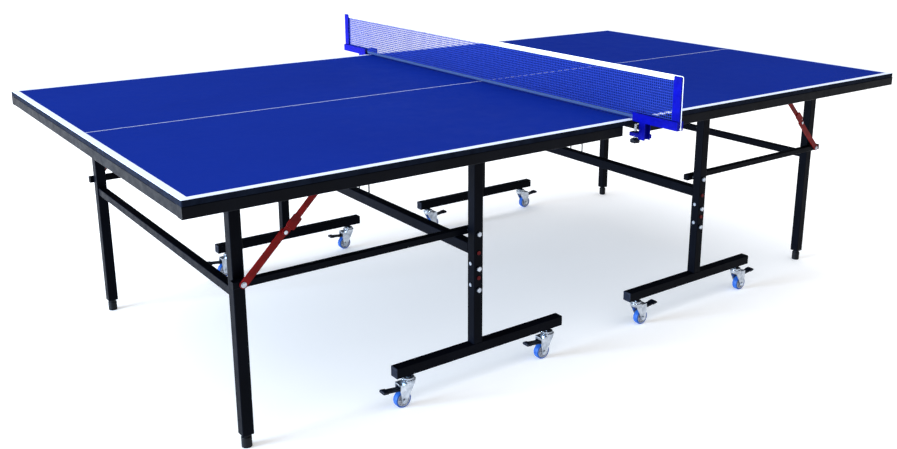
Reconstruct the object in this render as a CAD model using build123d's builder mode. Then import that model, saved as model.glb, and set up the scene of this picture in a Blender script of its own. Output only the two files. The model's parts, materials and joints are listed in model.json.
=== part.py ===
"""Folding roll-away ping pong table with a clamp-on net.

X runs along the table, Y across it and Z up. The origin is on the floor under the
middle of the net. Each half stands on a T-shaped inner stand with four casters and
an outer leg frame. "Reach" is a distance from the net line, measured outwards, and
"side" is the distance from the table's long centre line.
"""

import os
from math import cos, radians, sin

from build123d import *

os.makedirs("parts", exist_ok=True)

# Playing surface and the rail frame under it
table_length = 2740
table_width = 1525
table_height = 760
panel_thickness = 15
panel_corner_radius = 4
panel_edge_chamfer = 0.6
halves_gap = 5
rail_tube = 30
rail_start_reach = 48

# Square steel tube
leg_tube = 32
brace_tube = 25
link_tube = 20
tube_wall = 1.5
tube_corner_radius = 2.5
weld_gap = 0.2
end_plug = 4

# Inner stand, outer legs and where they pivot
stand_reach = 478
leg_reach = 1172
leg_side = 553
pivot_clearance = 3
link_height = 466
stand_brace_height = 418
leg_brace_height = 432
link_outer_stub = 26
link_inner_stub = 28
link_gap = 4
post_gap = 11

# Pivot pins and bolts
pin_radius = 4
running_gap = 0.08
open_pivot_gap = 0.3
ear_thickness = 3
ear_radius = 13
ear_gap = 1
pin_head_radius = 7.5
pin_head_height = 3
bolt_head_height = 5.5
bolt_hex_radius = 7.5
seat_gap = 0.2

# Red folding stays
stay_width = 20
upper_stay_width = 17
stay_thickness = 4
stay_gap = 2
rivet_gap = 0.5
rivet_radius = 6
rivet_head_height = 1.5
sleeve_width = 27
sleeve_start = 14
sleeve_length = 38
sleeve_thickness = 3
sleeve_corner_radius = 5

# Wheel base and casters
base_reach = 454.5
base_length = 605
caster_clearance = 47
stem_inset = 45
stem_radius = 5
stem_boss_radius = 11
stem_nut_radius = 9
stem_nut_height = 8
caster_trail = 22
wheel_radius = 25
wheel_width = 20
hub_width = 25
hub_radius = 9
axle_radius = 4
axle_head = 3
fork_gap = 1
fork_plate = 2.5
fork_heel = 12
fork_lip = 5
cheek_radius = 9
bridge = 3
crown_radius = 21
crown_thickness = 10
raceway_radius = 17
raceway_thickness = 6
raceway_gap = 2
stem_engagement = 24
pedal_pivot_offset = 8
pedal_rise = 7
pedal_hub_radius = 4.5
pedal_pin_radius = 2
pedal_length = 58
pedal_width = 22
pedal_thickness = 5
pedal_tilt = 7
pedal_toe = 16

# Levelling feet
foot_radius = 14
foot_height = 30
foot_shoulder = 2
foot_edge = 1.5
foot_neck_radius = 11
foot_neck_height = 6
foot_stem_radius = 5
foot_stem_length = 45
leg_bottom = 38
leg_plug_height = 14

# Height bolts, plugs and the wire catch on the inner stand
height_bolt_heights = (361, 296)
side_screw_rise = 15
side_screw_radius = 3
side_screw_head = 2.2
plug_heights = (409, 333)
plug_radius = 5
plug_head_radius = 6
plug_head_height = 2.5
plug_depth = 4
wire_radius = 2.5
catch_width = 64
catch_height = 42

# Net, posts and clamps
net_height = 152.5
net_overhang = 152.5
post_width = 28
post_thickness = 10
post_wall = 2
post_proud = 22
post_top_gap = 3.5
net_clearance = 4
mesh_thickness = 1.5
tape_width = 15
tape_thickness = 3
cord_radius = 1.25
cord_bend = 4
cord_gap = 1
clamp_edge_gap = 1
clamp_throat = 27
clamp_wall = 2
clamp_rise = 23
arm_width = 24
arm_depth = 26
bracket_reach = 28
bracket_depth = 23
bracket_recess = 12
jaw_inner_reach = 4
jaw_width = 26
jaw_thickness = 12
upper_jaw_overlap = 25
lower_jaw_overlap = 24
screw_inset = 12
screw_radius = 4
knob_radius = 15.5
knob_height = 14
knob_lobes = 5
knob_lobe_radius = 5
knob_gap = 8
pad_radius = 9
pad_thickness = 3
pad_gap = 0.3

# Positions that follow from the sizes above
panel_underside = table_height - panel_thickness
rail_underside = panel_underside - rail_tube
pivot_drop = leg_tube / 2 + pivot_clearance
pivot_height = rail_underside - pivot_drop
base_underside = 2 * wheel_radius + caster_clearance
base_top = base_underside + leg_tube
pedal_pivot_height = 2 * wheel_radius + pedal_rise
stem_reaches = (
    base_reach - base_length / 2 + stem_inset,
    base_reach + base_length / 2 - stem_inset,
)
rise = pivot_height - link_height
stay_reach = leg_reach - rise
bore_radius = pin_radius + running_gap
link_side = leg_side + leg_tube / 2 + link_gap + link_tube / 2
stand_side = link_side + link_tube / 2 + post_gap + leg_tube / 2
stay_side = link_side + link_tube / 2 + stay_gap
upper_stay_side = stay_side + stay_thickness + stay_gap + rivet_gap


def save(piece, name):
    """Names a finished piece and writes it as its own STEP file."""
    piece.part.label = name
    export_step(piece.part, f"parts/{name}.step")


def tube(start, end, across, wall=tube_wall):
    """Adds an open square tube that runs straight from start to end."""
    run = Vector(*end) - Vector(*start)
    with BuildSketch(Plane(origin=start, z_dir=run)) as section:
        RectangleRounded(across, across, tube_corner_radius)
        Rectangle(across - 2 * wall, across - 2 * wall, mode=Mode.SUBTRACT)
    extrude(section.sketch, amount=run.length)


def block(low, high, mode=Mode.ADD):
    """Adds or removes an upright box between two opposite corners."""
    size = [abs(b - a) for a, b in zip(low, high)]
    middle = tuple((a + b) / 2 for a, b in zip(low, high))
    with Locations(middle):
        Box(*size, mode=mode)


def rod(start, end, radius, mode=Mode.ADD):
    """Adds or removes a round bar that runs straight from start to end."""
    run = Vector(*end) - Vector(*start)
    with BuildSketch(Plane(origin=start, z_dir=run)) as section:
        Circle(radius)
    extrude(section.sketch, amount=run.length, mode=mode)


def hex_head(start, end, radius):
    """Adds a hexagon bolt head or nut between two points on its axis."""
    run = Vector(*end) - Vector(*start)
    with BuildSketch(Plane(origin=start, z_dir=run)) as section:
        RegularPolygon(radius, 6)
    extrude(section.sketch, amount=run.length)


def bar(start, end, width, y, thickness):
    """Adds a flat round-ended bar between two (x, z) points, from y outwards."""
    way = 1 if y > 0 else -1
    (x0, z0), (x1, z1) = start, end
    run = Vector(x1 - x0, 0, z1 - z0)
    face = Plane(origin=(x0, y, z0), x_dir=run, z_dir=(0, way, 0))
    with BuildSketch(face) as outline:
        with Locations((run.length / 2, 0)):
            SlotCenterToCenter(run.length, width)
    extrude(outline.sketch, amount=thickness)


def ear(x, y_from, y_to):
    """Adds a hinge ear that hangs from the rails to the tilt pivot."""
    rod((x, y_from, pivot_height), (x, y_to, pivot_height), ear_radius)
    block((x - ear_radius, y_from, pivot_height), (x + ear_radius, y_to, rail_underside))


for half, out in (("left", -1), ("right", 1)):
    # Panel
    panel_inner = out * halves_gap / 2
    panel_outer = out * table_length / 2
    with BuildPart() as tabletop:
        block(
            (panel_inner, -table_width / 2, panel_underside),
            (panel_outer, table_width / 2, table_height),
        )
        outer_edges = tabletop.edges().filter_by(Axis.Z).sort_by(Axis.X)
        fillet(outer_edges[:2] if out < 0 else outer_edges[-2:], panel_corner_radius)
        chamfer(tabletop.faces().sort_by(Axis.Z)[-1].edges(), panel_edge_chamfer)
    save(tabletop, f"{half}_tabletop")

    # Rails and cross members under the panel
    rail_z = panel_underside - rail_tube / 2
    rail_side = table_width / 2 - rail_tube / 2
    cross_side = table_width / 2 - rail_tube - weld_gap
    cross_reaches = (
        rail_start_reach + rail_tube / 2,
        stand_reach,
        stay_reach,
        leg_reach,
        table_length / 2 - rail_tube / 2,
    )
    with BuildPart() as rail_frame:
        for way in (-1, 1):
            y = way * rail_side
            inner = (out * rail_start_reach, y, rail_z)
            outer = (panel_outer, y, rail_z)
            tube(inner, outer, rail_tube)
            hollow = rail_tube / 2 - tube_wall
            block(
                (panel_outer, y - hollow, rail_z - hollow),
                (panel_outer - out * end_plug, y + hollow, rail_z + hollow),
            )
        for reach in cross_reaches:
            x = out * reach
            tube((x, -cross_side, rail_z), (x, cross_side, rail_z), rail_tube)
    save(rail_frame, f"{half}_rail_frame")

    # Hinge ears with their pins, for the stand, the outer legs and the stays
    with BuildPart() as hinge_brackets:
        for way in (-1, 1):
            for reach, side in ((stand_reach, stand_side), (leg_reach, leg_side)):
                x = out * reach
                near = side - leg_tube / 2 - ear_gap
                far = side + leg_tube / 2 + ear_gap
                ear(x, way * near, way * (near - ear_thickness))
                ear(x, way * far, way * (far + ear_thickness))
                rod(
                    (x, way * (near - ear_thickness), pivot_height),
                    (x, way * (far + ear_thickness + pin_head_height), pivot_height),
                    pin_radius,
                )
                rod(
                    (x, way * (far + ear_thickness), pivot_height),
                    (x, way * (far + ear_thickness + pin_head_height), pivot_height),
                    pin_head_radius,
                )
            x = out * stay_reach
            stay_ear = upper_stay_side + stay_thickness + ear_gap
            ear(x, way * stay_ear, way * (stay_ear + ear_thickness))
            rod(
                (x, way * upper_stay_side, pivot_height),
                (x, way * (stay_ear + ear_thickness + 1), pivot_height),
                pin_radius,
            )
    save(hinge_brackets, f"{half}_hinge_brackets")

    # Inner stand: two posts and the brace between them
    x = out * stand_reach
    with BuildPart() as inner_leg_frame:
        for way in (-1, 1):
            y = way * stand_side
            tube((x, y, base_top + weld_gap), (x, y, pivot_height), leg_tube)
            rod(
                (x, y - leg_tube / 2, pivot_height),
                (x, y + leg_tube / 2, pivot_height),
                leg_tube / 2,
            )
        brace_side = stand_side - leg_tube / 2 - weld_gap
        tube(
            (x, -brace_side, stand_brace_height),
            (x, brace_side, stand_brace_height),
            leg_tube,
        )
        for way in (-1, 1):
            inside = way * (stand_side - leg_tube)
            outside = way * (stand_side + leg_tube)
            for z in (pivot_height, link_height, *height_bolt_heights):
                rod((x, inside, z), (x, outside, z), bore_radius, mode=Mode.SUBTRACT)
            for z in plug_heights:
                middle = way * stand_side
                rod((x, middle, z), (x, outside, z), plug_radius + running_gap, mode=Mode.SUBTRACT)
            for z in height_bolt_heights:
                level = z + side_screw_rise
                rod(
                    (x - leg_tube, way * stand_side, level),
                    (x + leg_tube, way * stand_side, level),
                    side_screw_radius + running_gap,
                    mode=Mode.SUBTRACT,
                )
    save(inner_leg_frame, f"{half}_inner_leg_frame")

    # Wheel bases: the feet of the T, with a boss and a nut for each caster stem
    for row, way in (("near", -1), ("far", 1)):
        y = way * stand_side
        base_z = base_underside + leg_tube / 2
        ends = (out * (base_reach - base_length / 2), out * (base_reach + base_length / 2))
        hollow = leg_tube / 2 - tube_wall
        with BuildPart() as wheel_base:
            tube((ends[0], y, base_z), (ends[1], y, base_z), leg_tube)
            for end, inward in ((ends[0], out), (ends[1], -out)):
                block(
                    (end, y - hollow, base_z - hollow),
                    (end + inward * end_plug, y + hollow, base_z + hollow),
                )
            for reach in stem_reaches:
                stem = out * reach
                rod((stem, y, base_underside), (stem, y, base_top - tube_wall), stem_boss_radius)
                hex_head(
                    (stem, y, base_underside - stem_nut_height),
                    (stem, y, base_underside),
                    stem_nut_radius,
                )
                rod(
                    (stem, y, base_underside - stem_nut_height),
                    (stem, y, base_top - 2 * tube_wall),
                    stem_radius + running_gap,
                    mode=Mode.SUBTRACT,
                )
        save(wheel_base, f"{half}_{row}_wheel_base")

    # Bolts of the inner stand: the link pivots, the height bolts and side screws
    with BuildPart() as frame_bolts:
        for way in (-1, 1):
            post_face = stand_side + leg_tube / 2
            post_inner = stand_side - leg_tube / 2
            link_inner = link_side - link_tube / 2
            for z in (link_height, *height_bolt_heights):
                tail = link_inner if z == link_height else post_inner
                rod((x, way * (tail - bolt_head_height), z), (x, way * post_face, z), pin_radius)
                hex_head(
                    (x, way * (post_face + seat_gap), z),
                    (x, way * (post_face + bolt_head_height), z),
                    bolt_hex_radius,
                )
                rod((x, way * post_face, z), (x, way * (post_face + 1), z), pin_radius)
                hex_head(
                    (x, way * (tail - bolt_head_height), z),
                    (x, way * (tail - seat_gap), z),
                    bolt_hex_radius,
                )
                if z == link_height:
                    rod(
                        (x, way * (post_inner - seat_gap), z),
                        (x, way * (link_side + link_tube / 2 + seat_gap), z),
                        bolt_hex_radius,
                    )
            for z in height_bolt_heights:
                for face in (-1, 1):
                    level = z + side_screw_rise
                    skin = x + face * leg_tube / 2
                    rod(
                        (skin - face * side_screw_head, way * stand_side, level),
                        (skin + face * side_screw_head, way * stand_side, level),
                        side_screw_radius,
                    )
                    hex_head(
                        (skin + face * seat_gap, way * stand_side, level),
                        (skin + face * (side_screw_head + seat_gap), way * stand_side, level),
                        2 * side_screw_radius,
                    )
    save(frame_bolts, f"{half}_frame_bolts")

    # Red plugs in the spare height holes
    with BuildPart() as hole_plugs:
        for way in (-1, 1):
            post_face = stand_side + leg_tube / 2
            for z in plug_heights:
                rod(
                    (x, way * (post_face - plug_depth), z),
                    (x, way * (post_face + 1), z),
                    plug_radius,
                )
                rod(
                    (x, way * (post_face + seat_gap), z),
                    (x, way * (post_face + plug_head_height), z),
                    plug_head_radius,
                )
    save(hole_plugs, f"{half}_hole_plugs")

    # Wire catch that stands on the brace
    brace_top = stand_brace_height + leg_tube / 2
    with BuildPart() as wire_catch:
        with BuildLine() as loop:
            FilletPolyline(
                (x, -catch_width / 2, brace_top + weld_gap),
                (x, -catch_width / 2, brace_top + catch_height),
                (x, catch_width / 2, brace_top + catch_height),
                (x, catch_width / 2, brace_top + weld_gap),
                radius=catch_width / 5,
            )
        with BuildSketch(Plane(origin=loop.line @ 0, z_dir=loop.line % 0)):
            Circle(wire_radius)
        sweep(path=loop.line)
    save(wire_catch, f"{half}_wire_catch")

    # Outer legs with their brace, and the pins that the links and stays turn on
    x = out * leg_reach
    with BuildPart() as outer_leg_frame:
        for way in (-1, 1):
            y = way * leg_side
            tube((x, y, leg_bottom), (x, y, pivot_height), leg_tube)
            rod(
                (x, y - leg_tube / 2, pivot_height),
                (x, y + leg_tube / 2, pivot_height),
                leg_tube / 2,
            )
            hollow = leg_tube / 2 - tube_wall
            block(
                (x - hollow, y - hollow, leg_bottom),
                (x + hollow, y + hollow, leg_bottom + leg_plug_height),
            )
            rod(
                (x, y, 0),
                (x, y, leg_bottom + foot_stem_length),
                foot_stem_radius + running_gap,
                mode=Mode.SUBTRACT,
            )
            rod(
                (x, way * (leg_side - leg_tube), pivot_height),
                (x, way * (leg_side + leg_tube), pivot_height),
                bore_radius,
                mode=Mode.SUBTRACT,
            )
            rod(
                (x, way * (leg_side - leg_tube / 2), link_height),
                (x, way * (stay_side + stay_thickness + 1), link_height),
                pin_radius,
            )
        brace_side = leg_side - leg_tube / 2 - weld_gap
        tube((x, -brace_side, leg_brace_height), (x, brace_side, leg_brace_height), brace_tube)
    save(outer_leg_frame, f"{half}_outer_leg_frame")

    # Levelling feet screwed up into the legs
    for row, way in (("near", -1), ("far", 1)):
        y = way * leg_side
        with BuildPart() as levelling_foot:
            rod((x, y, 0), (x, y, foot_height), foot_radius)
            rod((x, y, foot_height), (x, y, foot_height + foot_neck_height), foot_neck_radius)
            rod((x, y, foot_height), (x, y, foot_height + foot_stem_length), foot_stem_radius)
            rims = levelling_foot.edges().filter_by(GeomType.CIRCLE)
            rim = rims.filter_by(lambda edge: edge.radius > foot_radius - 1).sort_by(Axis.Z)
            fillet(rim[-1], foot_shoulder)
            fillet(rim[0], foot_edge)
        save(levelling_foot, f"{half}_{row}_levelling_foot")

    # Link bars between the stand and the outer legs
    link_ends = (out * (stand_reach - link_inner_stub), out * (leg_reach + link_outer_stub))
    with BuildPart() as link_bars:
        for way in (-1, 1):
            y = way * link_side
            tube((link_ends[0], y, link_height), (link_ends[1], y, link_height), link_tube)
            hollow = link_tube / 2 - tube_wall
            for end, inward in ((link_ends[0], out), (link_ends[1], -out)):
                block(
                    (end, y - hollow, link_height - hollow),
                    (end + inward * end_plug / 2, y + hollow, link_height + hollow),
                )
            for reach, gap in ((stand_reach, running_gap), (leg_reach, open_pivot_gap)):
                rod(
                    (out * reach, y - link_tube, link_height),
                    (out * reach, y + link_tube, link_height),
                    pin_radius + gap,
                    mode=Mode.SUBTRACT,
                )
    save(link_bars, f"{half}_link_bars")

    # Folding stays: the lower arm turns on the leg's pin, the upper one under the rails
    lower_pivot = (out * leg_reach, link_height)
    upper_pivot = (out * stay_reach, pivot_height)
    middle = (out * (leg_reach + stay_reach) / 2, (link_height + pivot_height) / 2)
    with BuildPart() as stay_lower:
        for way in (-1, 1):
            bar(lower_pivot, middle, stay_width, way * stay_side, stay_thickness)
            rod(
                (lower_pivot[0], way * (stay_side - 1), link_height),
                (lower_pivot[0], way * (stay_side + 2 * stay_thickness), link_height),
                bore_radius,
                mode=Mode.SUBTRACT,
            )
            rod(
                (middle[0], way * stay_side, middle[1]),
                (middle[0], way * (upper_stay_side - rivet_gap), middle[1]),
                rivet_radius,
            )
    save(stay_lower, f"{half}_stay_lower")

    along = Vector(upper_pivot[0] - middle[0], 0, upper_pivot[1] - middle[1]).normalized()
    with BuildPart() as stay_upper:
        for way in (-1, 1):
            bar(middle, upper_pivot, upper_stay_width, way * upper_stay_side, stay_thickness)
            face = Plane(
                origin=(middle[0], way * (upper_stay_side + stay_thickness), middle[1]),
                x_dir=along,
                z_dir=(0, way, 0),
            )
            with BuildSketch(face) as sleeve:
                with Locations((sleeve_start + sleeve_length / 2, 0)):
                    RectangleRounded(sleeve_length, sleeve_width, sleeve_corner_radius)
            extrude(sleeve.sketch, amount=sleeve_thickness)
            rod(
                (upper_pivot[0], way * (upper_stay_side - 1), pivot_height),
                (upper_pivot[0], way * (upper_stay_side + 2 * stay_thickness), pivot_height),
                bore_radius,
                mode=Mode.SUBTRACT,
            )
            face_side = way * (upper_stay_side + stay_thickness)
            rod(
                (middle[0], face_side, middle[1]),
                (middle[0], face_side + way * rivet_head_height, middle[1]),
                rivet_radius,
            )
    save(stay_upper, f"{half}_stay_upper")

    # Casters: fork, wheel and brake pedal under each end of each wheel base
    for row, way in (("near", -1), ("far", 1)):
        y = way * stand_side
        for place, reach in zip(("inner", "outer"), stem_reaches):
            name = f"{half}_{row}_{place}"
            stem = out * reach
            axle = stem + out * caster_trail
            pedal_axis = axle + out * pedal_pivot_offset
            crown_top = base_underside - stem_nut_height - raceway_thickness - raceway_gap
            crown_bottom = crown_top - crown_thickness
            plate_inner = hub_width / 2 + fork_gap

            with BuildPart() as caster_fork:
                rod((stem, y, crown_top), (stem, y, base_underside + stem_engagement), stem_radius)
                rod((stem, y, crown_top), (stem, y, crown_top + raceway_thickness), raceway_radius)
                with BuildSketch(Plane.XY.offset(crown_top)) as crown:
                    with Locations((stem, y)):
                        Circle(crown_radius)
                extrude(crown.sketch, amount=-crown_thickness, taper=8)
                block(
                    (stem - out * fork_heel, y - plate_inner - fork_plate, crown_bottom),
                    (pedal_axis + out * fork_lip, y + plate_inner + fork_plate, crown_bottom + bridge),
                )
                for face in (-1, 1):
                    skin = y + face * plate_inner
                    with BuildSketch(Plane(origin=(0, skin, 0), x_dir=(1, 0, 0), z_dir=(0, -1, 0))) as cheek:
                        with BuildLine():
                            Polyline(
                                (stem - out * fork_heel, crown_bottom),
                                (pedal_axis + out * fork_lip, crown_bottom),
                                (pedal_axis + out * fork_lip, pedal_pivot_height - fork_lip),
                                (axle + out * cheek_radius, wheel_radius),
                                (axle - out * cheek_radius, wheel_radius),
                                (stem - out * fork_heel, crown_bottom),
                            )
                        make_face()
                        with Locations((axle, wheel_radius)):
                            Circle(cheek_radius)
                    extrude(cheek.sketch, amount=-face * fork_plate)
                outer_skin = plate_inner + fork_plate
                rod(
                    (axle, y - outer_skin - axle_head, wheel_radius),
                    (axle, y + outer_skin + axle_head, wheel_radius),
                    axle_radius,
                )
                for face in (-1, 1):
                    hex_head(
                        (axle, y + face * outer_skin, wheel_radius),
                        (axle, y + face * (outer_skin + axle_head), wheel_radius),
                        axle_radius * 1.6,
                    )
                rod(
                    (pedal_axis, y - outer_skin, pedal_pivot_height),
                    (pedal_axis, y + outer_skin, pedal_pivot_height),
                    pedal_pin_radius,
                )
            save(caster_fork, f"{name}_caster_fork")

            with BuildPart() as wheel:
                across = Plane(origin=(axle, y, wheel_radius), x_dir=(0, 1, 0), z_dir=(1, 0, 0))
                with BuildSketch(across) as tread:
                    with BuildLine():
                        Polyline(
                            (-hub_width / 2, axle_radius + running_gap),
                            (-hub_width / 2, hub_radius),
                            (-wheel_width / 2, hub_radius + 2),
                            (-wheel_width / 2, wheel_radius - 3),
                            (-wheel_width / 2 + 3, wheel_radius),
                            (wheel_width / 2 - 3, wheel_radius),
                            (wheel_width / 2, wheel_radius - 3),
                            (wheel_width / 2, hub_radius + 2),
                            (hub_width / 2, hub_radius),
                            (hub_width / 2, axle_radius + running_gap),
                            (-hub_width / 2, axle_radius + running_gap),
                        )
                    make_face()
                revolve(axis=Axis((axle, y, wheel_radius), (0, 1, 0)))
            save(wheel, f"{name}_wheel")

            with BuildPart() as brake_pedal:
                pivot = (pedal_axis, pedal_pivot_height)
                half_hub = plate_inner - fork_gap / 2
                rod((pivot[0], y - half_hub, pivot[1]), (pivot[0], y + half_hub, pivot[1]), pedal_hub_radius)
                lean = Vector(out * cos(radians(pedal_tilt)), 0, sin(radians(pedal_tilt)))
                deck = Plane(origin=(pivot[0], y, pivot[1]), x_dir=(0, 1, 0), z_dir=lean)
                with BuildSketch(deck) as lever:
                    Rectangle(pedal_width, pedal_thickness)
                extrude(lever.sketch, amount=pedal_length)
                with BuildSketch(deck.offset(pedal_length - pedal_toe)) as toe:
                    RectangleRounded(pedal_width + 4, pedal_thickness + 3, 2)
                extrude(toe.sketch, amount=pedal_toe)
                rod(
                    (pivot[0], y - hub_width, pivot[1]),
                    (pivot[0], y + hub_width, pivot[1]),
                    pedal_pin_radius + running_gap,
                    mode=Mode.SUBTRACT,
                )
            save(brake_pedal, f"{name}_brake_pedal")

# Net set: clamps with their posts, screws, mesh, and the tape with its cord
net_top = table_height + net_height
post_side = table_width / 2 + net_overhang - post_width / 2 + post_proud
post_top = net_top - post_top_gap
table_edge = table_width / 2
back = table_edge + clamp_edge_gap
bracket_inner = back + bracket_reach
bracket_outer = bracket_inner + bracket_depth
arm_outer = post_side + post_width / 2
jaw_outer_reach = jaw_inner_reach + jaw_width
jaw_middle = jaw_inner_reach + jaw_width / 2
screw_side = table_edge - screw_inset
clamp_top = table_height + seat_gap + clamp_rise
arm_bottom = clamp_top - arm_depth
jaw_top = panel_underside - clamp_throat
jaw_bottom = jaw_top - jaw_thickness
for row, way in (("near", -1), ("far", 1)):
    with BuildPart() as net_clamp:
        # The bracket stands outside the table's edge, and its jaws grip the right half only.
        block(
            (-arm_width / 2, way * bracket_inner, jaw_bottom),
            (arm_width / 2, way * bracket_outer, clamp_top),
        )
        block(
            (jaw_inner_reach, way * (table_edge - upper_jaw_overlap), table_height + seat_gap),
            (jaw_outer_reach, way * (back + jaw_thickness), clamp_top),
        )
        block(
            (jaw_inner_reach, way * (table_edge - lower_jaw_overlap), jaw_bottom),
            (jaw_outer_reach, way * (bracket_inner + jaw_thickness), jaw_top),
        )
        block(
            (-arm_width / 2 + clamp_wall, way * (bracket_inner + bracket_recess), jaw_bottom),
            (arm_width / 2 - clamp_wall, way * bracket_outer, arm_bottom),
            mode=Mode.SUBTRACT,
        )
        # The arm is a channel that is open at the top, so that the net hangs down into it.
        block(
            (-arm_width / 2, way * back, arm_bottom),
            (arm_width / 2, way * arm_outer, clamp_top),
        )
        block(
            (-arm_width / 2 + clamp_wall, way * back, arm_bottom + clamp_wall),
            (arm_width / 2 - clamp_wall, way * (arm_outer - clamp_wall), clamp_top),
            mode=Mode.SUBTRACT,
        )
        with BuildSketch(Plane.XY.offset(arm_bottom)) as post:
            with Locations((0, way * post_side)):
                Rectangle(post_thickness, post_width)
        extrude(post.sketch, amount=post_top - arm_bottom)
        with BuildSketch(Plane.XY.offset(arm_bottom + clamp_wall)) as channel:
            with Locations((0, way * (post_side - post_wall))):
                Rectangle(post_thickness - 2 * post_wall, post_width)
        extrude(channel.sketch, amount=post_top - arm_bottom - 2 * clamp_wall, mode=Mode.SUBTRACT)
        rod(
            (jaw_middle, way * screw_side, jaw_bottom - 1),
            (jaw_middle, way * screw_side, jaw_top + 1),
            screw_radius + running_gap,
            mode=Mode.SUBTRACT,
        )
    save(net_clamp, f"net_{row}_clamp")

    knob_top = jaw_bottom - knob_gap
    with BuildPart() as clamp_screw:
        rod(
            (jaw_middle, way * screw_side, knob_top - knob_height),
            (jaw_middle, way * screw_side, panel_underside - pad_gap - pad_thickness),
            screw_radius,
        )
        rod(
            (jaw_middle, way * screw_side, panel_underside - pad_gap - pad_thickness),
            (jaw_middle, way * screw_side, panel_underside - pad_gap),
            pad_radius,
        )
        with BuildSketch(Plane.XY.offset(knob_top - knob_height)) as knob:
            with Locations((jaw_middle, way * screw_side)):
                Circle(knob_radius - knob_lobe_radius)
                with PolarLocations(knob_radius - knob_lobe_radius, knob_lobes):
                    Circle(knob_lobe_radius)
        extrude(knob.sketch, amount=knob_height)
    save(clamp_screw, f"net_{row}_clamp_screw")

mesh_side = post_side - post_width / 2 + post_wall
mesh_bottom = table_height + net_clearance
tape_bottom = net_top - tape_width
with BuildPart() as net_mesh:
    block(
        (-mesh_thickness / 2, -mesh_side, mesh_bottom),
        (mesh_thickness / 2, mesh_side, tape_bottom - seat_gap),
    )
save(net_mesh, "net_mesh")

# The head cord runs out of the tape, over each post and down its outer face
cord_top = net_top - cord_radius
cord_side = post_side + post_width / 2 + cord_radius + cord_gap
cord_bottom = arm_bottom + clamp_wall
tape_side = post_side - post_width / 2 - 1
with BuildPart() as net_tape:
    block(
        (-tape_thickness / 2, -tape_side, tape_bottom),
        (tape_thickness / 2, tape_side, net_top),
    )
    for way in (-1, 1):
        with BuildLine() as lashing:
            FilletPolyline(
                (0, way * (tape_side + seat_gap), cord_top),
                (0, way * cord_side, cord_top),
                (0, way * cord_side, cord_bottom),
                radius=cord_bend,
            )
        with BuildSketch(Plane(origin=lashing.line @ 0, z_dir=lashing.line % 0)):
            Circle(cord_radius)
        sweep(path=lashing.line)
save(net_tape, "net_tape")
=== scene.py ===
"""Looks of the folding ping pong table: materials, net, tape, wheels, knobs, light and camera."""

import json
import random
from math import cos, pi, radians, sin

import bmesh
import bpy
from mathutils import Matrix, Vector


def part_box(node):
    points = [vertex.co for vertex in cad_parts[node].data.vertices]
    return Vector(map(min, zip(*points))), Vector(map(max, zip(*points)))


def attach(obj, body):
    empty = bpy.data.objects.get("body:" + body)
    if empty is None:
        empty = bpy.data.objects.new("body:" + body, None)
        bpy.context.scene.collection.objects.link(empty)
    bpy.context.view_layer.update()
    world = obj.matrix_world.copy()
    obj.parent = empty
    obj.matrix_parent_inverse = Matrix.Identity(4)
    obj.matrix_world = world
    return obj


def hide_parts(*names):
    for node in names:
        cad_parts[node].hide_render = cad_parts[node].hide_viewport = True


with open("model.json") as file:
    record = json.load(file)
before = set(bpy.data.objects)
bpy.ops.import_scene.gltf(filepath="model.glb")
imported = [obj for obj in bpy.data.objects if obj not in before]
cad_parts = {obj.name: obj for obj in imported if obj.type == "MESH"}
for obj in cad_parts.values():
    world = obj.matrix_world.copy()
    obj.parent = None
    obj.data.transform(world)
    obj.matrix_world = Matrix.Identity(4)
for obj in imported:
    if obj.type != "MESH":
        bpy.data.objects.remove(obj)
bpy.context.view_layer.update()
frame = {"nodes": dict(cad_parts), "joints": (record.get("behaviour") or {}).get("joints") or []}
nodes = frame["nodes"]
chance = random.Random(7)
HALVES = ("left", "right")
ROWS = ("near", "far")
PLACES = ("inner", "outer")
MM = 0.001


# Materials

def new_material(name, colour, roughness, metallic=0.0, specular=0.5):
    """A principled material whose constant values sit on the shader's own sockets."""
    mat = bpy.data.materials.new(name)
    mat.use_nodes = True
    shader = mat.node_tree.nodes["Principled BSDF"]
    shader.inputs["Base Color"].default_value = (*colour, 1)
    shader.inputs["Roughness"].default_value = roughness
    shader.inputs["Metallic"].default_value = metallic
    shader.inputs["Specular IOR Level"].default_value = specular
    return mat, shader


def add(mat, kind, **values):
    """Adds a shader node and sets its named properties or inputs."""
    node = mat.node_tree.nodes.new(kind)
    for key, value in values.items():
        if hasattr(node, key):
            setattr(node, key, value)
        else:
            node.inputs[key.replace("_", " ")].default_value = value
    return node


def join(mat, out, into):
    """Links one socket to another."""
    mat.node_tree.links.new(out, into)


def place(mat, stretch=(1, 1, 1)):
    """Coordinates that stay with the piece, in metres times stretch."""
    where = add(mat, "ShaderNodeTexCoord")
    mapping = add(mat, "ShaderNodeMapping")
    mapping.inputs["Scale"].default_value = stretch
    join(mat, where.outputs["Object"], mapping.inputs["Vector"])
    return mapping.outputs["Vector"]


def noise(mat, scale, stretch=(1, 1, 1), detail=3.0):
    """Smooth noise from 0 to 1, with about scale patches to a metre."""
    node = add(mat, "ShaderNodeTexNoise", Scale=scale, Detail=detail)
    join(mat, place(mat, stretch), node.inputs["Vector"])
    return node.outputs["Fac"]


def spread(mat, value, low, high, start=0.3, end=0.7):
    """Maps a noise value to a range of numbers."""
    node = add(mat, "ShaderNodeMapRange")
    join(mat, value, node.inputs["Value"])
    for key, number in zip(("From Min", "From Max", "To Min", "To Max"), (start, end, low, high)):
        node.inputs[key].default_value = number
    return node.outputs["Result"]


def tint(mat, value, dark, light, start=0.3, end=0.7):
    """Maps a value to a blend of two colours."""
    ramp = add(mat, "ShaderNodeValToRGB")
    join(mat, value, ramp.inputs["Fac"])
    ramp.color_ramp.elements[0].position = start
    ramp.color_ramp.elements[0].color = (*dark, 1)
    ramp.color_ramp.elements[1].position = end
    ramp.color_ramp.elements[1].color = (*light, 1)
    return ramp.outputs["Color"]


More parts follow.
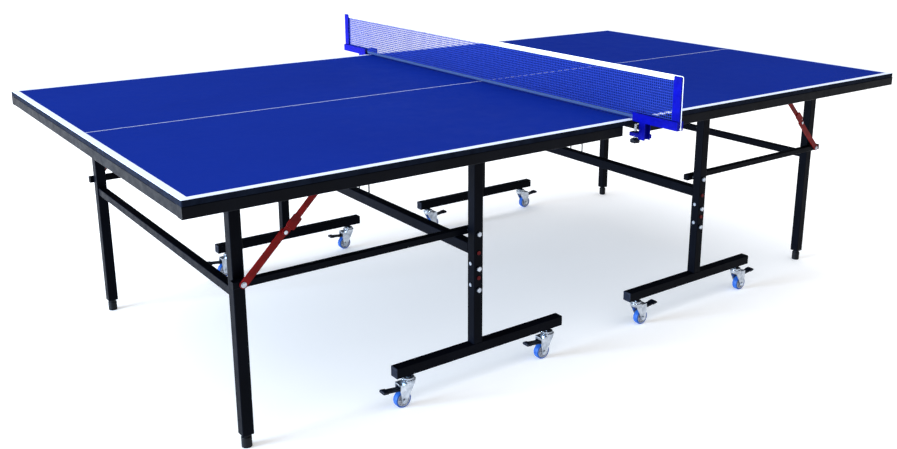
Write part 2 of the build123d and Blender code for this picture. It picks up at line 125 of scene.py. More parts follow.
def bump(mat, shader, height, depth):
    """Relief on a finish, from a height of 0 to 1 times a depth in metres."""
    node = add(mat, "ShaderNodeBump", Strength=1.0, Distance=depth)
    join(mat, height, node.inputs["Height"])
    join(mat, node.outputs["Normal"], shader.inputs["Normal"])


def surface(name, dark, light, rough, grain, depth, metallic=0.0, specular=0.5, stretch=(1, 1, 1), patch=9):
    """A finish with broad colour patches, an uneven roughness and a fine bump."""
    mat, shader = new_material(name, light, rough[1], metallic, specular)
    broad = noise(mat, patch, detail=5)
    join(mat, tint(mat, broad, dark, light), shader.inputs["Base Color"])
    join(mat, spread(mat, noise(mat, 4 * patch, stretch), *rough), shader.inputs["Roughness"])
    bump(mat, shader, noise(mat, grain, stretch, detail=2), depth)
    return mat


black_coat = surface("black_powder_coat", (0.0006, 0.001, 0.0026), (0.0012, 0.0019, 0.0045),
                     (0.36, 0.5), 1400, 0.00008, specular=0.03)
rail_coat = surface("rail_powder_coat", (0.0006, 0.001, 0.0026), (0.0012, 0.0019, 0.0045),
                    (0.36, 0.5), 1400, 0.00008, specular=0.055)
zinc = surface("zinc_plate", (0.36, 0.4, 0.46), (0.7, 0.74, 0.8),
               (0.22, 0.4), 500, 0.00006, metallic=1.0, stretch=(1, 1, 6), patch=60)
bolt_zinc = surface("bolt_zinc", (0.3, 0.33, 0.38), (0.52, 0.55, 0.6),
                    (0.25, 0.4), 900, 0.00005, metallic=1.0, patch=90)
red_enamel = surface("red_enamel", (0.09, 0.0015, 0.002), (0.17, 0.003, 0.003),
                     (0.35, 0.5), 1100, 0.00006, specular=0.08, patch=40)
red_plastic = surface("red_plastic", (0.05, 0.001, 0.002), (0.1, 0.002, 0.003),
                      (0.35, 0.45), 1500, 0.00004, specular=0.1, patch=70)
black_rubber = surface("black_rubber", (0.001, 0.0012, 0.002), (0.003, 0.0035, 0.006),
                       (0.4, 0.6), 1800, 0.0001, specular=0.15, patch=60)
pedal_plastic = surface("pedal_plastic", (0.001, 0.0025, 0.008), (0.003, 0.006, 0.016),
                        (0.34, 0.5), 1600, 0.00008, specular=0.15, patch=80)
cap_plastic = surface("cap_plastic", (0.0015, 0.0035, 0.01), (0.004, 0.008, 0.02),
                      (0.34, 0.5), 1500, 0.00008, specular=0.15, patch=80)
clamp_blue = surface("clamp_blue", (0.0002, 0.0008, 0.16), (0.0004, 0.0016, 0.27),
                     (0.3, 0.42), 1300, 0.00005, specular=0.05, patch=25)
tyre_blue = surface("tyre_blue", (0.008, 0.05, 0.24), (0.02, 0.1, 0.38),
                    (0.4, 0.55), 1500, 0.00008, specular=0.2, patch=70)
core_grey = surface("core_grey", (0.3, 0.32, 0.37), (0.46, 0.48, 0.54),
                    (0.4, 0.55), 1500, 0.00006, specular=0.3, patch=80)
chrome = surface("chrome", (0.6, 0.62, 0.66), (0.85, 0.87, 0.9),
                 (0.1, 0.22), 900, 0.00003, metallic=1.0, patch=90)

# The playing surface: painted lines, a fine stipple, and the black edge of the board
TABLE_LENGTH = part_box("right_tabletop")[1].x * 2
TABLE_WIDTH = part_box("right_tabletop")[1].y * 2
LINE_WIDTH = 0.02
CENTRE_LINE_WIDTH = 0.003


def tabletop_material():
    """Satin blue paint with white lines, which turns near black where the board's sides show."""
    mat, shader = new_material("playing_surface", (0.004, 0.02, 0.3), 0.6, specular=0.02)
    where = add(mat, "ShaderNodeTexCoord")
    split = add(mat, "ShaderNodeSeparateXYZ")
    join(mat, where.outputs["Object"], split.inputs["Vector"])
    facing = add(mat, "ShaderNodeSeparateXYZ")
    join(mat, where.outputs["Normal"], facing.inputs["Vector"])

    def test(value, kind, limit, absolute=True):
        if absolute:
            size = add(mat, "ShaderNodeMath", operation="ABSOLUTE")
            join(mat, value, size.inputs[0])
            value = size.outputs[0]
        node = add(mat, "ShaderNodeMath", operation=kind)
        join(mat, value, node.inputs[0])
        node.inputs[1].default_value = limit
        return node.outputs[0]

    side_line = test(split.outputs["Y"], "GREATER_THAN", TABLE_WIDTH / 2 - LINE_WIDTH)
    end_line = test(split.outputs["X"], "GREATER_THAN", TABLE_LENGTH / 2 - LINE_WIDTH)
    centre_line = test(split.outputs["Y"], "LESS_THAN", CENTRE_LINE_WIDTH / 2)
    paint = side_line
    for line in (end_line, centre_line):
        either = add(mat, "ShaderNodeMath", operation="MAXIMUM")
        join(mat, paint, either.inputs[0])
        join(mat, line, either.inputs[1])
        paint = either.outputs[0]
    edge = test(facing.outputs["Z"], "LESS_THAN", 0.5, absolute=False)
    blue = tint(mat, noise(mat, 1.6, detail=3), (0.001, 0.017, 0.235), (0.0013, 0.0195, 0.255))
    white = tint(mat, noise(mat, 30, detail=4), (0.6, 0.68, 0.86), (0.68, 0.76, 0.92))
    colour = blue
    dark_edge = tint(mat, noise(mat, 40), (0.002, 0.0035, 0.009), (0.005, 0.008, 0.017))
    for factor, second in ((paint, white), (edge, dark_edge)):
        mix = add(mat, "ShaderNodeMix", data_type="RGBA")
        join(mat, factor, mix.inputs["Factor"])
        join(mat, colour, mix.inputs["A"])
        join(mat, second, mix.inputs["B"])
        colour = mix.outputs["Result"]
    join(mat, colour, shader.inputs["Base Color"])
    join(mat, spread(mat, noise(mat, 14, detail=6), 0.55, 0.66), shader.inputs["Roughness"])
    bump(mat, shader, noise(mat, 1500, detail=1), 0.00006)
    return mat


playing_surface = tabletop_material()


def thread_material(name, dark, light, pitch):
    """Spun thread: its twist shows as fine slanted bands."""
    mat, shader = new_material(name, light, 0.75, specular=0.2)
    wave = add(mat, "ShaderNodeTexWave", Scale=1 / pitch, Distortion=1.5, Detail=1.0)
    wave.bands_direction = "DIAGONAL"
    join(mat, place(mat), wave.inputs["Vector"])
    join(mat, tint(mat, wave.outputs["Fac"], dark, light, 0.1, 0.9), shader.inputs["Base Color"])
    join(mat, spread(mat, noise(mat, 60), 0.65, 0.85), shader.inputs["Roughness"])
    bump(mat, shader, wave.outputs["Fac"], 0.0001)
    return mat


net_thread = thread_material("net_thread", (0.005, 0.022, 0.23), (0.012, 0.042, 0.38), 0.004)
band_cloth = thread_material("band_cloth", (0.02, 0.045, 0.12), (0.05, 0.09, 0.2), 0.003)
tape_cloth = thread_material("tape_cloth", (0.82, 0.84, 0.88), (0.95, 0.96, 0.98), 0.002)
cord_cotton = thread_material("cord_cotton", (0.62, 0.66, 0.78), (0.92, 0.94, 0.98), 0.003)
seam_thread = thread_material("seam_thread", (0.6, 0.62, 0.68), (0.78, 0.8, 0.84), 0.001)


# Every CAD node that stays gets its finish

def finish_node(name, mat):
    """Gives a CAD node one material."""
    slots = nodes[name].data.materials
    slots.clear()
    slots.append(mat)


finishes = {
    "tabletop": playing_surface,
    "rail_frame": rail_coat,
    "hinge_brackets": black_coat,
    "inner_leg_frame": black_coat,
    "near_wheel_base": black_coat,
    "far_wheel_base": black_coat,
    "outer_leg_frame": black_coat,
    "link_bars": black_coat,
    "frame_bolts": bolt_zinc,
    "hole_plugs": red_plastic,
    "wire_catch": black_coat,
    "stay_upper": red_enamel,
    "stay_lower": red_enamel,
    "near_levelling_foot": black_rubber,
    "far_levelling_foot": black_rubber,
}
for half in HALVES:
    for part, mat in finishes.items():
        finish_node(f"{half}_{part}", mat)
    for row in ROWS:
        for spot in PLACES:
            finish_node(f"{half}_{row}_{spot}_caster_fork", zinc)
            finish_node(f"{half}_{row}_{spot}_brake_pedal", pedal_plastic)
for row in ROWS:
    finish_node(f"net_{row}_clamp", clamp_blue)


# Mesh building

def finished(name, mesh, mats, body, smooth=True):
    """Turns a bmesh into an object that rides on a CAD body."""
    bmesh.ops.recalc_face_normals(mesh, faces=mesh.faces)
    data = bpy.data.meshes.new(name)
    mesh.to_mesh(data)
    mesh.free()
    for mat in mats:
        data.materials.append(mat)
    data.polygons.foreach_set("use_smooth", [smooth] * len(data.polygons))
    obj = bpy.data.objects.new(name, data)
    bpy.context.scene.collection.objects.link(obj)
    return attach(obj, body)


def loft(mesh, rings, slot=0):
    """Joins closed rings of points, one after another, into a skin with flat ends."""
    made = [[mesh.verts.new(point) for point in ring] for ring in rings]
    for ring, after in zip(made, made[1:]):
        count = len(ring)
        for i in range(count):
            j = (i + 1) % count
            mesh.faces.new((ring[i], ring[j], after[j], after[i])).material_index = slot
    for ring in (made[0], made[-1]):
        mesh.faces.new(ring).material_index = slot


def sharpen(obj, angle):
    """Keeps the edges that turn by more than an angle in degrees sharp."""
    edges = obj.modifiers.new("edges", "EDGE_SPLIT")
    edges.split_angle = radians(angle)


def box_middle(name):
    """The middle of a node's box, and half its size."""
    low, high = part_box(name)
    return (low + high) / 2, (high - low) / 2


# Wheels: a rounded blue tyre on a grey core with ribs, turned about the axle

WHEEL_STEPS = 64
WHEEL_RIBS = 6
WHEEL_BORE = 4.08 * MM
TYRE, CORE, HUB = 0, 1, 2


def wheel(name, body):
    """A wheel turned from one profile, with ribs on both faces of its core."""
    middle, size = box_middle(name)
    radius = size.z
    hub_half = size.y
    tread_half = hub_half * 0.8
    core_radius = radius * 0.79
    well = tread_half * 0.55
    # Points from the hub's end to the middle of the tread: side, radius, and what starts there
    profile = (
        (hub_half, WHEEL_BORE, HUB),
        (hub_half, WHEEL_BORE + 2.2 * MM, HUB),
        (hub_half - 0.6 * MM, WHEEL_BORE + 3 * MM, CORE),
        (well, WHEEL_BORE + 3.6 * MM, CORE),
        (well, core_radius - 2.5 * MM, CORE),
        (tread_half - 0.8 * MM, core_radius - 1.6 * MM, CORE),
        (tread_half - 0.3 * MM, core_radius, TYRE),
        (tread_half, core_radius + 1.5 * MM, TYRE),
        (tread_half * 0.98, radius - 2.4 * MM, TYRE),
        (tread_half * 0.86, radius - 0.8 * MM, TYRE),
        (tread_half * 0.6, radius - 0.1 * MM, TYRE),
        (0, radius, TYRE),
    )
    mirrored = tuple((-side, reach, kind) for side, reach, kind in reversed(profile[:-1]))
    full = profile + mirrored
    kinds = [kind for _, _, kind in profile] + [kind for _, _, kind in mirrored][1:] + [HUB]
    mesh = bmesh.new()
    rings = []
    for step in range(WHEEL_STEPS):
        turn = 2 * pi * step / WHEEL_STEPS
        rings.append([
            mesh.verts.new(middle + Vector((reach * cos(turn), side, reach * sin(turn))))
            for side, reach, _ in full
        ])
    count = len(full)
    for step in range(WHEEL_STEPS):
        one, two = rings[step], rings[(step + 1) % WHEEL_STEPS]
        for i in range(count):
            j = (i + 1) % count
            face = mesh.faces.new((one[i], one[j], two[j], two[i]))
            face.material_index = kinds[i] if i < count - 1 else HUB
    root = well - 0.5 * MM
    rib_ends = (
        (WHEEL_BORE + 2.8 * MM, 1.2 * MM, hub_half - 1.2 * MM),
        (core_radius - 1.8 * MM, 0.9 * MM, tread_half - 1 * MM),
    )
    for side in (-1, 1):
        for rib in range(WHEEL_RIBS):
            turn = 2 * pi * rib / WHEEL_RIBS
            along = Vector((cos(turn), 0, sin(turn)))
            across = Vector((-sin(turn), 0, cos(turn)))
            sections = []
            for reach, width, depth in rib_ends:
                sections.append([
                    middle + along * reach + across * edge * width + Vector((0, side * rise, 0))
                    for edge, rise in ((-1, root), (1, root), (1, depth), (-1, depth))
                ])
            loft(mesh, sections, slot=CORE)
    mats = (tyre_blue, core_grey, pedal_plastic)
    obj = finished(name.replace("_wheel", "_rolling_wheel"), mesh, mats, body)
    sharpen(obj, 35)
    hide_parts(name)


PEDAL_TILT = radians(7)
PEDAL_RIBS = 6


def pedal_grip(name, body, out):
    """Raised ribs across the toe of a brake pedal."""
    low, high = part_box(name)
    width = (high.y - low.y) / 2 - 1.5 * MM
    centre = (high.y + low.y) / 2
    toe_end = high.x if out > 0 else low.x
    mesh = bmesh.new()
    for rib in range(PEDAL_RIBS):
        back = (2.5 + rib * 2.2) * MM
        x = toe_end - out * back
        top = high.z - back * sin(PEDAL_TILT) - 0.3 * MM
        rings = []
        for y in (-width, -width + 1 * MM, width - 1 * MM, width):
            lift = 0.9 * MM if abs(y) < width else 0.2 * MM
            section = ((-0.6 * MM, -0.8 * MM), (-0.4 * MM, lift), (0.4 * MM, lift), (0.6 * MM, -0.8 * MM))
            rings.append([Vector((x + dx, centre + y, top + dz)) for dx, dz in section])
        loft(mesh, rings)
    finished(f"{name}_grip", mesh, (pedal_plastic,), body)


joint_places = {joint["name"]: Vector(joint["pos_m"]) for joint in frame["joints"] if "pos_m" in joint}
RACE_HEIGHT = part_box("left_near_wheel_base")[0].z - 6.5 * MM
RACE_RADIUS = 17.6 * MM
BALL_RADIUS = 1.7 * MM
BALLS = 14


def bearing_balls(caster):
    """The ring of balls that shows between the swivel's raceway and its crown."""
    mesh = bmesh.new()
    stem = joint_places[f"swivel_{caster}"]
    for ball in range(BALLS):
        turn = 2 * pi * ball / BALLS
        centre = Vector((stem.x + RACE_RADIUS * cos(turn), stem.y + RACE_RADIUS * sin(turn), RACE_HEIGHT))
        place_at = Matrix.Translation(centre)
        bmesh.ops.create_icosphere(mesh, subdivisions=2, radius=BALL_RADIUS, matrix=place_at)
    finished(f"{caster}_caster_fork_balls", mesh, (chrome,), f"{caster}_swivel")


for half, out in (("left", -1), ("right", 1)):
    for row in ROWS:
        for spot in PLACES:
            caster = f"{half}_{row}_{spot}"
            wheel(f"{caster}_wheel", f"{caster}_roller")
            pedal_grip(f"{caster}_brake_pedal", f"{caster}_brake", out)
            bearing_balls(caster)


def bolt_head(name, body, way, centre, steps):
    """A round or hexagonal head made of steps, each with its start, end, radius and sides."""
    mesh = bmesh.new()
    for near, far, radius, sides in steps:
        turns = [2 * pi * corner / sides for corner in range(sides)]
        rings = []
        for depth, inset in ((near, 0), (far - 0.3, 0), (far, 0.5)):
            reach = radius - inset
            rings.append([
                centre + Vector((reach * cos(turn), way * depth, reach * sin(turn))) * MM
                for turn in turns
            ])
        loft(mesh, rings)
    obj = finished(name, mesh, (bolt_zinc,), body, smooth=False)


def rounded_square(half_side, corner, steps=5):
    """Points round a square with rounded corners."""
    points = []
    for quarter in range(4):
        turn = quarter * pi / 2
        mx = (half_side - corner) * (1 if quarter in (0, 3) else -1)
        my = (half_side - corner) * (1 if quarter in (0, 1) else -1)
        for step in range(steps + 1):
            angle = turn + pi / 2 * step / steps
            points.append((mx + corner * cos(angle), my + corner * sin(angle)))
    return points


# Zinc heads over each stay's lower pivot and over the rivet between its arms.
# Each step is (start, end, radius, sides), in millimetres.
PIVOT_BOLT = ((0, 0.7, 7.6, 40), (0.7, 2.0, 6.2, 6))
RIVET_CAP = ((0, 1.2, 5.2, 40),)
for half in HALVES:
    pivot = joint_places[f"stay_{half}_lower_swing"]
    rivet = (pivot + joint_places[f"stay_{half}_upper_swing"]) / 2
    pin_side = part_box(f"{half}_outer_leg_frame")[1].y - 0.9 * MM
    rivet_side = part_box(f"{half}_stay_upper")[1].y - 1.6 * MM
    for row, way in (("near", -1), ("far", 1)):
        bolt_head(f"{half}_{row}_stay_pivot_bolt", f"{half}_outer_legs", way,
                  Vector((pivot.x, way * pin_side, pivot.z)), PIVOT_BOLT)
        bolt_head(f"{half}_{row}_stay_rivet_cap", f"{half}_upper_stays", way,
                  Vector((rivet.x, way * rivet_side, rivet.z)), RIVET_CAP)


# Moulded caps with ribs on the ends of the wheel bases

BASE_HALF_TUBE = 16 * MM


def base_cap(base, x, outward, name):
    """A moulded cap with three ribs on one end of a wheel base."""
    low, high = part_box(base)
    y = (low.y + high.y) / 2
    z = high.z - BASE_HALF_TUBE
    mesh = bmesh.new()
    rings = []
    for push, inset, corner in ((-0.5, 0, 2.5), (1.2, 0, 2.8), (2.2, 0.8, 3.2), (2.6, 2.5, 3)):
        rings.append([
            Vector((x + outward * push * MM, y + a, z + b))
            for a, b in rounded_square(BASE_HALF_TUBE - inset * MM, corner * MM)
        ])
    loft(mesh, rings)
    for rib in (-1, 0, 1):
        ribs = []
        for b in (-9 * MM, 9 * MM):
            ribs.append([
                Vector((x + outward * push * MM, y + rib * 6.5 * MM + a * MM, z + b))
                for push, a in ((2.2, -1.3), (3.3, -0.9), (3.3, 0.9), (2.2, 1.3))
            ])
        loft(mesh, ribs)
    obj = finished(name, mesh, (cap_plastic,), f"{base.split('_')[0]}_stand", smooth=False)


for half in HALVES:
    for row in ROWS:
        low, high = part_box(f"{half}_{row}_wheel_base")
        for x, outward in ((low.x, -1), (high.x, 1)):
            end = "inner" if (outward > 0) == (half == "left") else "outer"
            base_cap(f"{half}_{row}_wheel_base", x, outward, f"{half}_{row}_base_cap_{end}")


# Clamp screws

def corners(name):
    """All the corner points of a CAD node, in the frame."""
    obj = nodes[name]
    return [obj.matrix_world @ vertex.co for vertex in obj.data.vertices]


KNOB_HEIGHT = 14 * MM
KNOB_GRIP = 12.6 * MM
KNOB_LOBES = 5
PAD_HEIGHT = 3 * MM
PAD_RADIUS = 9 * MM
THREAD_CORE = 3.3 * MM
THREAD_CREST = 3.95 * MM
THREAD_PITCH = 1.25 * MM
SCREW_STEPS = 96


def clamp_screw(row):
    """A turned thread, a pressure pad and a lobed knob in place of a plain clamp screw."""
    node = f"net_{row}_clamp_screw"
    low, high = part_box(node)
    pad_points = [point for point in corners(node) if point.z > high.z - 1 * MM]
    middle = sum(pad_points, Vector()) / len(pad_points)
    mesh = bmesh.new()
    knob_top = low.z + KNOB_HEIGHT
    pad_bottom = high.z - PAD_HEIGHT

    def ring(z, radius, lobes=0.0):
        """A ring round the screw's axis, with lobes that stand out by a share of its radius."""
        points = []
        for step in range(SCREW_STEPS):
            turn = 2 * pi * step / SCREW_STEPS
            reach = radius * (1 + lobes * cos(KNOB_LOBES * turn))
            points.append(Vector((middle.x + reach * cos(turn), middle.y + reach * sin(turn), z)))
        return points

    rings = []
    z = knob_top
    while z < pad_bottom - THREAD_PITCH:
        rings.append(ring(z, THREAD_CORE))
        rings.append(ring(z + THREAD_PITCH * 0.35, THREAD_CREST))
        rings.append(ring(z + THREAD_PITCH * 0.55, THREAD_CREST))
        rings.append(ring(z + THREAD_PITCH * 0.9, THREAD_CORE))
        z += THREAD_PITCH
    rings.append(ring(pad_bottom, THREAD_CORE))
    loft(mesh, rings, slot=0)
    loft(mesh, [
        ring(pad_bottom, PAD_RADIUS - 0.8 * MM),
        ring(pad_bottom + 0.6 * MM, PAD_RADIUS),
        ring(high.z - 0.6 * MM, PAD_RADIUS),
        ring(high.z, PAD_RADIUS - 0.8 * MM),
    ], slot=0)
    loft(mesh, [
        ring(low.z, KNOB_GRIP * 0.72, 0.1),
        ring(low.z + 0.8 * MM, KNOB_GRIP * 0.88, 0.14),
        ring(low.z + 3 * MM, KNOB_GRIP, 0.2),
        ring(knob_top - 3 * MM, KNOB_GRIP, 0.2),
        ring(knob_top - 0.9 * MM, KNOB_GRIP * 0.9, 0.14),
        ring(knob_top, KNOB_GRIP * 0.7, 0.08),
        ring(knob_top + 0.1 * MM, 6 * MM),
        ring(knob_top + 2 * MM, 5.6 * MM),
    ], slot=1)
    obj = finished(f"net_{row}_star_knob_screw", mesh, (chrome, pedal_plastic), f"net_{row}_screw")
    sharpen(obj, 40)
    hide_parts(node)


for row in ROWS:
    clamp_screw(row)


# Net: knotted square mesh, woven over and under

NET_BODY = "right_half_top"
net_low, net_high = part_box("net_mesh")
BAND_HEIGHT = 9 * MM
MESH_PITCH = 7.5 * MM
THREAD_RADIUS = 1.15 * MM
KNOT_RADIUS = 1.45 * MM
WEAVE_LIFT = 0.35 * MM
KNOT_WANDER = 0.35
NET_TUCK = 2 * MM
SIDEWAYS = Vector((0, 1, 0))
UPWARD = Vector((0, 0, 1))


def thread(mesh, points, across):
    """A four-sided thread along points, thicker at its knots, which are every second point."""
    rings = []
    for index, point in enumerate(points):
        radius = THREAD_RADIUS if index % 2 else KNOT_RADIUS
        deep = Vector((radius, 0, 0))
        wide = across * radius
        rings.append([point + wide, point + deep, point - wide, point - deep])
    loft(mesh, rings)


def net():
    """The whole net below its tape, as one piece in place of the plain CAD solid."""
    mesh = bmesh.new()
    bottom = net_low.z + BAND_HEIGHT * 0.5
    top = net_high.z + NET_TUCK
    columns = round((net_high.y - net_low.y) / MESH_PITCH)
    rows = round((top - bottom) / MESH_PITCH)
    step_y = (net_high.y - net_low.y) / columns
    step_z = (top - bottom) / rows
    wander = []
    for _ in range(columns + 1):
        wander.append([
            (chance.uniform(-KNOT_WANDER, KNOT_WANDER) * MM, chance.uniform(-KNOT_WANDER, KNOT_WANDER) * MM)
            for _ in range(rows + 1)
        ])

    def knot(column, row, way):
        """Where two threads cross: one passes in front of the other, and it wanders off the edges."""
        dy, dz = wander[column][row] if 0 < row < rows and 0 < column < columns else (0, 0)
        lift = way * WEAVE_LIFT * (1 if (row + column) % 2 else -1)
        return Vector((lift, net_low.y + column * step_y + dy, bottom + row * step_z + dz))

    def through(knots):
        """The knots of a thread, with a point halfway between each two that lies in the net's plane."""
        points = [knots[0]]
        for one, two in zip(knots, knots[1:]):
            points += [Vector((0, (one.y + two.y) / 2, (one.z + two.z) / 2)), two]
        return points

    for column in range(columns + 1):
        thread(mesh, through([knot(column, row, 1) for row in range(rows + 1)]), SIDEWAYS)
    for row in range(rows + 1):
        thread(mesh, through([knot(column, row, -1) for column in range(columns + 1)]), UPWARD)
    obj = finished("net_knotted_mesh", mesh, (net_thread,), NET_BODY)
    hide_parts("net_mesh")
    return obj


CLOTH_THICKNESS = 0.5 * MM
BAND_PIECES = 240


def folded_band(name, z_low, z_high, fold_at_top, mat, half_thickness, length):
    """Cloth folded round the net's edge: a narrow U in section, with a slight ripple along it."""
    mesh = bmesh.new()
    fold, lip = (z_high, z_low) if fold_at_top else (z_low, z_high)
    way = 1 if fold_at_top else -1
    height = abs(fold - lip)
    outside = (
        (half_thickness * 0.8, height * 0.95),
        (half_thickness, height * 0.82),
        (half_thickness * 0.96, height * 0.45),
        (half_thickness, 0.0),
    )
    inside = (
        (half_thickness - CLOTH_THICKNESS, 0.0),
        (half_thickness * 0.6, height * 0.85),
    )
    section = [(-x, h) for x, h in reversed(outside)]
    section += [(0.0, height), *outside, *inside]
    section += [(-x, h) for x, h in reversed(inside)]
    rings = []
    for step in range(BAND_PIECES + 1):
        y = -length / 2 + length * step / BAND_PIECES
        swell = 1 + 0.06 * sin(y * 70)
        ripple = 0.16 * MM * sin(y * 46) + 0.1 * MM * sin(y * 121 + 1)
        ring = []
        for x, h in section:
            sway = ripple * (1 if h < height * 0.5 else 0.2)
            ring.append(Vector((x * swell, y, lip + way * h + sway)))
        rings.append(ring)
    loft(mesh, rings)
    obj = finished(name, mesh, (mat,), NET_BODY)
    return obj


STITCH_PITCH = 4 * MM
STITCH_RADIUS = 0.22 * MM
STITCH_HALF_HEIGHT = 0.28 * MM


def stitches(name, z, x, length, mat):
    """A row of sewn stitches on each face of a band."""
    mesh = bmesh.new()
    deep = Vector((STITCH_RADIUS, 0, 0))
    high = Vector((0, 0, STITCH_HALF_HEIGHT))
    for face in (-1, 1):
        for index in range(int(length / STITCH_PITCH)):
            y = -length / 2 + (index + 0.5) * STITCH_PITCH
            rings = []
            for along, rise in ((-0.38, -0.1), (-0.2, 0.16), (0.2, 0.16), (0.38, -0.1)):
                middle = Vector((face * (x + rise * MM), y + along * STITCH_PITCH, z))
                rings.append([middle + face * deep, middle + high, middle - face * deep, middle - high])
            loft(mesh, rings)
    finished(name, mesh, (mat,), NET_BODY)


TAPE_DEPTH = 15 * MM
TAPE_HALF_THICKNESS = 1.5 * MM
BAND_HALF_THICKNESS = 1.1 * MM
BAND_MARGIN = 8 * MM
SEAM_MARGIN = 8 * MM
SEAM_HEIGHT = 2.2 * MM
tape_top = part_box("net_tape")[1].z
tape_bottom = tape_top - TAPE_DEPTH
tape_length = (net_high.y - 3 * MM) * 2
band_length = net_high.y - net_low.y - BAND_MARGIN
net_piece = net()
tape = folded_band("net_tape_cloth", tape_bottom, tape_top, True, tape_cloth,
                   TAPE_HALF_THICKNESS, tape_length)
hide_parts("net_tape")
folded_band("net_bottom_band", net_low.z, net_low.z + BAND_HEIGHT, False, band_cloth,
            BAND_HALF_THICKNESS, band_length)
stitches("net_tape_seam", tape_bottom + SEAM_HEIGHT, TAPE_HALF_THICKNESS,
         tape_length - SEAM_MARGIN, seam_thread)


# The head cords: out of the tape, over each post and down its outer face to a knot.
# The route is a list of (distance from the table's centre line, height) points.
CORD_RADIUS = 1 * MM
CORD_ROUTE = ((0.9082, 0.91125), (0.9273, 0.91125), (0.93925, 0.91125), (0.93925, 0.8992), (0.93925, 0.7592))
KNOT_HEIGHT = 0.7625
KNOT_SIDE = CORD_ROUTE[-1][0] - 0.5 * MM
KNOT_CORD_RADIUS = 0.85 * MM
KNOT_STEPS = 96
KNOT_FACETS = 10


def cord_knot(row, way):
    """An overhand knot: a closed trefoil of cord."""
    path = []
    for step in range(KNOT_STEPS):
        turn = 2 * pi * step / KNOT_STEPS
        reach = (1.7 + 0.75 * cos(3 * turn)) * MM
        loop = Vector((reach * cos(2 * turn), 0.9 * MM * sin(3 * turn), reach * sin(2 * turn)))
        path.append(loop + Vector((0, way * KNOT_SIDE, KNOT_HEIGHT)))
    mesh = bmesh.new()
    made = []
    for step, centre in enumerate(path):
        ahead = (path[(step + 1) % KNOT_STEPS] - path[step - 1]).normalized()
        one = ahead.cross(Vector((0.3, 1, 0.2))).normalized()
        two = ahead.cross(one)
        ring = []
        for facet in range(KNOT_FACETS):
            turn = 2 * pi * facet / KNOT_FACETS
            ring.append(mesh.verts.new(centre + (one * cos(turn) + two * sin(turn)) * KNOT_CORD_RADIUS))
        made.append(ring)
    for step, ring in enumerate(made):
        after = made[(step + 1) % KNOT_STEPS]
        for i in range(KNOT_FACETS):
            j = (i + 1) % KNOT_FACETS
            mesh.faces.new((ring[i], ring[j], after[j], after[i]))
    knot = finished(f"net_{row}_cord_knot", mesh, (cord_cotton,), NET_BODY)
    return knot


def head_cord(row, way):
    """One cord as a smooth spline, with its knot."""
    points = [Vector((0, way * side, height)) for side, height in CORD_ROUTE]
    curve = bpy.data.curves.new(f"net_{row}_head_cord", "CURVE")
    curve.dimensions = "3D"
    curve.bevel_depth = CORD_RADIUS
    curve.bevel_resolution = 4
    curve.use_fill_caps = True
    line = curve.splines.new("NURBS")
    line.points.add(len(points) - 1)
    for spot, point in zip(line.points, points):
        spot.co = (*point, 1)
    line.order_u = 3
    line.use_endpoint_u = True
    line.resolution_u = 12
    curve.materials.append(cord_cotton)
    obj = bpy.data.objects.new(curve.name, curve)
    bpy.context.scene.collection.objects.link(obj)
    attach(obj, NET_BODY)
    knot = cord_knot(row, way)


for row, way in (("near", -1), ("far", 1)):
    head_cord(row, way)


# Floor, light and camera

FLOOR_GLOW = 0.22
DIM_ROOM_STRENGTH = 0.12
floor_data = bpy.data.meshes.new("floor")
floor_mesh = bmesh.new()
bmesh.ops.create_grid(floor_mesh, x_segments=8, y_segments=8, size=40)
floor_mesh.to_mesh(floor_data)
floor_mesh.free()
floor_mat, floor_shader = new_material("pale_floor", (0.93, 0.93, 0.94), 0.9, specular=0.0)
join(floor_mat, tint(floor_mat, noise(floor_mat, 0.7), (0.9, 0.9, 0.91), (0.94, 0.94, 0.95)),
     floor_shader.inputs["Base Color"])
floor_shader.inputs["Emission Color"].default_value = (1, 1, 1, 1)
floor_shader.inputs["Emission Strength"].default_value = FLOOR_GLOW
floor_data.materials.append(floor_mat)
floor = bpy.data.objects.new("floor", floor_data)
floor.location.z = -0.0005
bpy.context.scene.collection.objects.link(floor)

scene = bpy.context.scene
world = bpy.data.worlds.new("studio")
scene.world = world
world.use_nodes = True
backdrop = world.node_tree.nodes["Background"]
backdrop.inputs["Color"].default_value = (1.0, 1.0, 1.0, 1)
backdrop.inputs["Strength"].default_value = 1.0
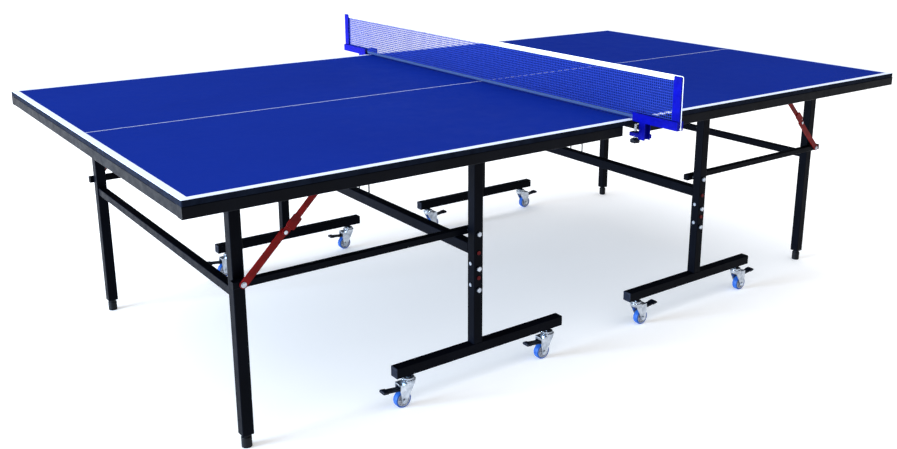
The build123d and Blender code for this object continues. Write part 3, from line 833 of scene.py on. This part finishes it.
# Gloss sees a dim room, so that the satin finishes keep their depth of colour.
dim_room = world.node_tree.nodes.new("ShaderNodeBackground")
dim_room.inputs["Color"].default_value = (0.7, 0.8, 1.0, 1)
dim_room.inputs["Strength"].default_value = DIM_ROOM_STRENGTH
ray = world.node_tree.nodes.new("ShaderNodeLightPath")
either = world.node_tree.nodes.new("ShaderNodeMixShader")
world.node_tree.links.new(ray.outputs["Is Glossy Ray"], either.inputs["Fac"])
world.node_tree.links.new(backdrop.outputs["Background"], either.inputs[1])
world.node_tree.links.new(dim_room.outputs["Background"], either.inputs[2])
world.node_tree.links.new(either.outputs["Shader"], world.node_tree.nodes["World Output"].inputs["Surface"])


def softbox(name, place_at, aim, size, power, colour=(1, 1, 1)):
    """A rectangular light that faces its aim; size is in metres and power in watts."""
    data = bpy.data.lights.new(name, "AREA")
    data.shape = "RECTANGLE"
    data.size, data.size_y = size
    data.energy = power
    data.color = colour
    obj = bpy.data.objects.new(name, data)
    obj.location = place_at
    obj.rotation_euler = (Vector(aim) - Vector(place_at)).to_track_quat("-Z", "Y").to_euler()
    scene.collection.objects.link(obj)


softbox("overhead", (0, 0.3, 5.5), (0, 0, 0), (9, 7), 160)
softbox("left_panel", (-7.0, 1.0, 0.9), (0, 1.0, 0.9), (3, 1.6), 1500, (0.6, 0.78, 1.0))

# The camera, from a fit to the table's regulation sizes. Its yaw is clockwise from +Y.
YAW, PITCH, ROLL = radians(37.173), radians(-15.485), radians(0.301)
CAMERA_PLACE = (-2.0734, -2.7478, 1.3859)
CAMERA_LENS = 39.563
CAMERA_SHIFT = (-0.036, -0.06)
forward = Vector((sin(YAW) * cos(PITCH), cos(YAW) * cos(PITCH), sin(PITCH)))
level = Vector((cos(YAW), -sin(YAW), 0))
upright = level.cross(forward)
right = level * cos(ROLL) + upright * sin(ROLL)
up = upright * cos(ROLL) - level * sin(ROLL)
camera_data = bpy.data.cameras.new("camera")
camera_data.sensor_width = 36
camera_data.lens = CAMERA_LENS
camera_data.shift_x, camera_data.shift_y = CAMERA_SHIFT
camera = bpy.data.objects.new("camera", camera_data)
scene.collection.objects.link(camera)
turned = Matrix((right, up, -forward)).transposed().to_4x4()
camera.matrix_world = Matrix.Translation(CAMERA_PLACE) @ turned
scene.camera = camera
scene.view_settings.view_transform = "Standard"
